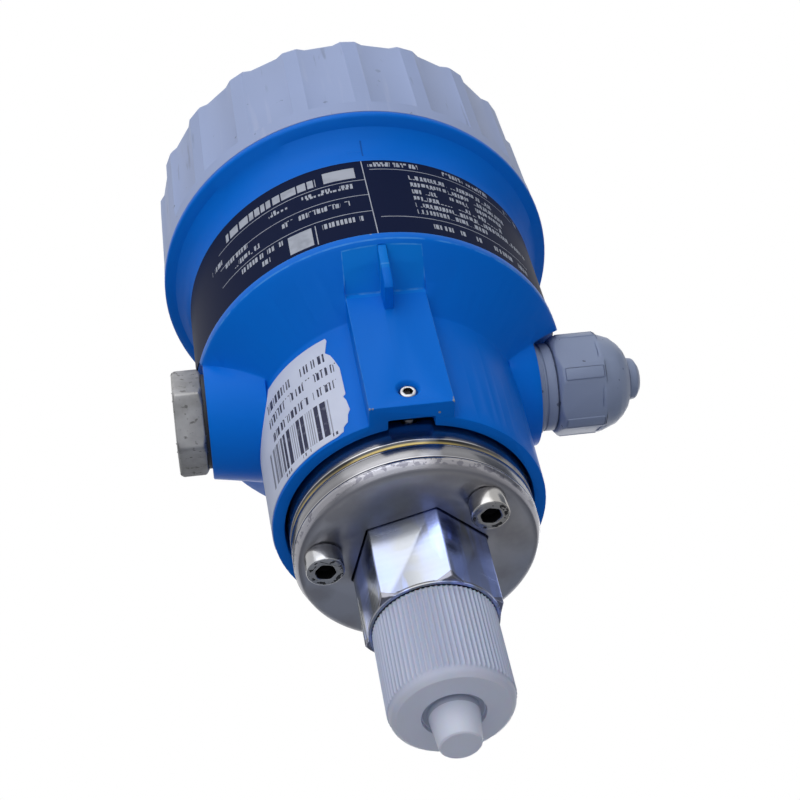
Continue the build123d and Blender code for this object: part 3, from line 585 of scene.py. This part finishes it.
# The lock screw is a short stainless set screw with a hexagon socket, sunk in the pad.
lock = cast_copy("lock_screw", "lock_pin", 30.0, bevel=0.12)
pin, pin_shader, shade = new_material("lock_steel", roughness=0.2, metallic=1.0)
place, x, y, z = shade.point()
lock_z = 37.7
lock_socket_r = 1.1
off = (x * x + (z - lock_z) * (z - lock_z)).maths("SQRT")
hollow = 1.0 - off.above(lock_socket_r)
# The hexagon socket is darkened in patches.
socket_darkening = hollow * shade.noise(place, 900.0).fade(0.35, 0.6) * 0.9
feed(pin_shader, "Base Color", socket_darkening.mix((0.42, 0.42, 0.44), (0.1, 0.09, 0.08)))
feed(pin_shader, "Normal", shade.bump(shade.noise(place, 1400.0), 0.3, 0.05))
settle(lock, "lock", pin, "lock_screw")

# The cable gland is moulded in grey polyamide: a ringed body, a nut with raised corner
# strips and a dome, and a stopper where the cable would be.
grey, grey_shader, shade = new_material("grey_polyamide", roughness=0.42, Specular_IOR_Level=0.3)
place, x, y, z = shade.point()
grain = shade.noise(place, 1300.0)
specks = shade.noise(place, 420.0, 1.0).above(0.73)
shape = shade.noise(place, 30.0).fade(0.3, 0.7).mix((0.25, 0.30, 0.43), (0.30, 0.355, 0.50))
feed(grey_shader, "Base Color", (specks * 0.7).mix(shape, (0.05, 0.06, 0.09)))
feed(grey_shader, "Normal", shade.bump(grain, 0.12, 0.05))
for node, name, body, bevel in (
    ("gland_body", "gland_shell", "housing_side", 0.25),
    ("dome_nut", "gland_dome", "gland_nut", 0.3),
    ("dust_plug", "gland_stopper", "plug", 0.4),
):
    settle(cast_copy(node, name, 34.0, bevel=bevel), body, grey, node)

# The blanking plug is bare cast metal with a dull, scuffed skin and dark dirt in its pores.
blank = cast_copy("blanking_plug", "cast_blank", 34.0, bevel=0.5, segments=3)
dull, dull_shader, shade = new_material("cast_metal", roughness=0.5, metallic=0.75)
place, x, y, z = shade.point()
skin = shade.noise(place, 140.0, 4.0)
pores = shade.noise(place, 700.0, 3.0)
tone = skin.fade(0.35, 0.65).mix((0.25, 0.25, 0.25), (0.42, 0.42, 0.43))
feed(dull_shader, "Base Color", (pores.fade(0.6, 0.68) * 0.7).mix(tone, (0.09, 0.085, 0.08)))
feed(dull_shader, "Roughness", skin * 0.3 + 0.36)
feed(dull_shader, "Normal", shade.bump(pores + skin, 0.5, 0.12))
settle(blank, "housing_side", dull, "blanking_plug")

# The lid is a light grey casting with twenty broad lobes for the hand. Its powder coat is
# rubbed along the lobes and has small dark knocks.
lid = cast_copy("lid", "grey_lid", 24.0)
pale, pale_shader, shade, base, (place, x, y, z), dents = powder_coat(
    "grey_powder_coat", (0.32, 0.395, 0.62), 0.45, 0.3
)
scrape = shade.noise(shade.node("Mapping", Vector=place, Scale=(420.0, 420.0, 45.0)), 1.0, 4.0)
where = shade.noise(place, 38.0, 2.0)
scuff = scrape.fade(0.64, 0.7) * where.fade(0.5, 0.62)
knock = shade.noise(place, 260.0, 3.0).fade(0.70, 0.73) * where.fade(0.55, 0.5)
long_marks = shade.node("Mapping", Vector=place, Scale=(300.0, 300.0, 20.0))
light_edge = shade.noise(long_marks, 1.0, 3.0).fade(0.62, 0.72)
tone = (light_edge * 0.35).mix(base, (0.46, 0.51, 0.68))
feed(pale_shader, "Base Color", (scuff * 0.35).either(knock * 0.6).mix(tone, (0.09, 0.11, 0.19)))
settle(lid, "lid_side", pale, "lid")

# What is inside or under the pieces above keeps its solid and gets its finish.
inside_finishes = {
    "black_rubber": (
        (0.02, 0.02, 0.022), 0.6, 0.0,
        ("neck_ring", "cell_ring", "lid_ring", "gland_seal", "plug_seal", "gland_insert"),
    ),
    "black_moulding": (
        (0.022, 0.023, 0.026), 0.5, 0.0,
        ("electronics_module", "board_spacer", "dip_block", "zero_key", "span_key"),
    ),
    "green_moulding": ((0.03, 0.2, 0.08), 0.45, 0.0, ("terminal_block",)),
    "board_lacquer": ((0.01, 0.13, 0.05), 0.3, 0.0, ("sensor_board", "main_board")),
    "amber_film": ((0.5, 0.22, 0.03), 0.35, 0.0, ("sensor_lead",)),
    "white_moulding": ((0.75, 0.75, 0.74), 0.45, 0.0, tuple("dip_slider_" + str(i) for i in range(1, 5))),
    "white_alumina": ((0.83, 0.82, 0.78), 0.35, 0.0, ("ceramic_cell",)),
    "green_lens": ((0.08, 0.5, 0.14), 0.15, 0.0, ("status_led",)),
    "plain_brass": ((0.6, 0.42, 0.16), 0.3, 1.0, ("earth_screw",)),
    "zinc_screws": ((0.6, 0.6, 0.6), 0.3, 1.0, ("module_screws", "terminal_screws", "clamp_ring")),
}
for name, (colour, roughness, metallic, nodes) in inside_finishes.items():
    finish, shader, shade = new_material(name, roughness=roughness, metallic=metallic)
    place = shade.point()[0]
    grain = shade.noise(place, 900.0)
    feed(shader, "Base Color", grain.mix(tuple(c * 0.9 for c in colour), tuple(c * 1.1 for c in colour)))
    feed(shader, "Normal", shade.bump(grain, 0.15, 0.03))
    for node in nodes:
        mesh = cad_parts[node].data
        mesh.materials.clear()
        mesh.materials.append(finish)
